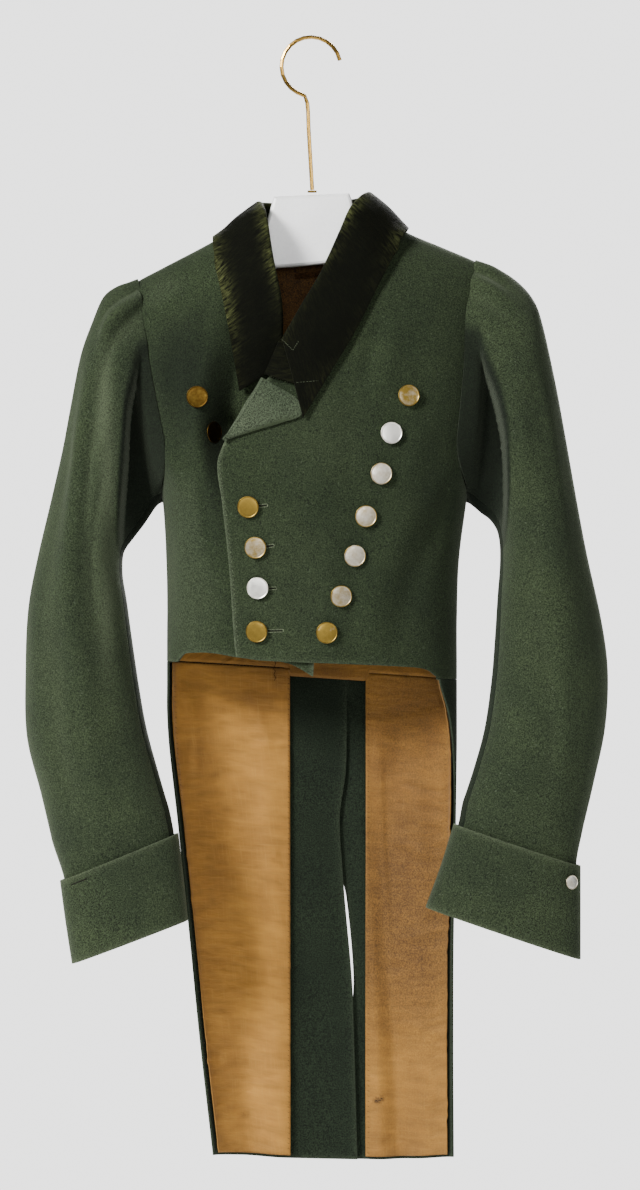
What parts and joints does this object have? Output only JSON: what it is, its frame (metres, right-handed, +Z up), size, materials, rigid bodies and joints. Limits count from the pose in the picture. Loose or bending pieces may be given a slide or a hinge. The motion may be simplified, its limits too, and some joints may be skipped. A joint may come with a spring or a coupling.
{
  "type": "tailcoat on a hanger",
  "caption": "Double-breasted wool tailcoat with a velvet collar, brass buttons and linen-lined tails, hung open on a moulded hanger with a wire hook.",
  "frame": {"origin": "the top of the inside of the hook's bend, where the rail carries the hanger", "axes": "+Z up, +X towards the wearer's left, -Y the way the coat faces"},
  "size_m": [0.5809, 0.1445, 1.1286],
  "materials": {
    "wool": "dark green felted wool broadcloth, matt, with a short nap",
    "velvet": "near-black olive cotton velvet, worn to a paler olive along its folds",
    "linen": "golden-brown plain-woven lining, slightly polished",
    "brass": "gilt brass, softly polished",
    "hanger_plastic": "smooth white, glossy"
  },
  "bodies": {
    "root": {"front_left": "wool", "front_right": "wool", "back_left": "wool", "back_right": "wool", "body_lining": "linen", "tail_left": "wool", "tail_right": "wool", "tail_lining_left": "linen", "tail_lining_right": "linen", "sleeve_left_upper": "wool", "sleeve_left_under": "wool", "sleeve_right_upper": "wool", "sleeve_right_under": "wool", "cuff_left": "wool", "cuff_right": "wool", "collar": "velvet", "collar_notch_piece": "velvet", "lapel_left": "wool", "button_left_1": "brass", "button_left_2": "brass", "button_left_3": "brass", "button_left_4": "brass", "button_left_5": "brass", "button_left_6": "brass", "button_left_7": "brass", "button_right_1": "brass", "button_right_2": "brass", "button_right_3": "brass", "button_right_4": "brass", "button_right_5": "brass", "button_right_6": "brass", "button_right_7": "brass", "button_cuff_left": "brass", "hanging_loop": "linen", "hanger_body": "hanger_plastic", "hanger_hook": "brass", "hook_ring": "brass"}
  },
  "joints": []
}
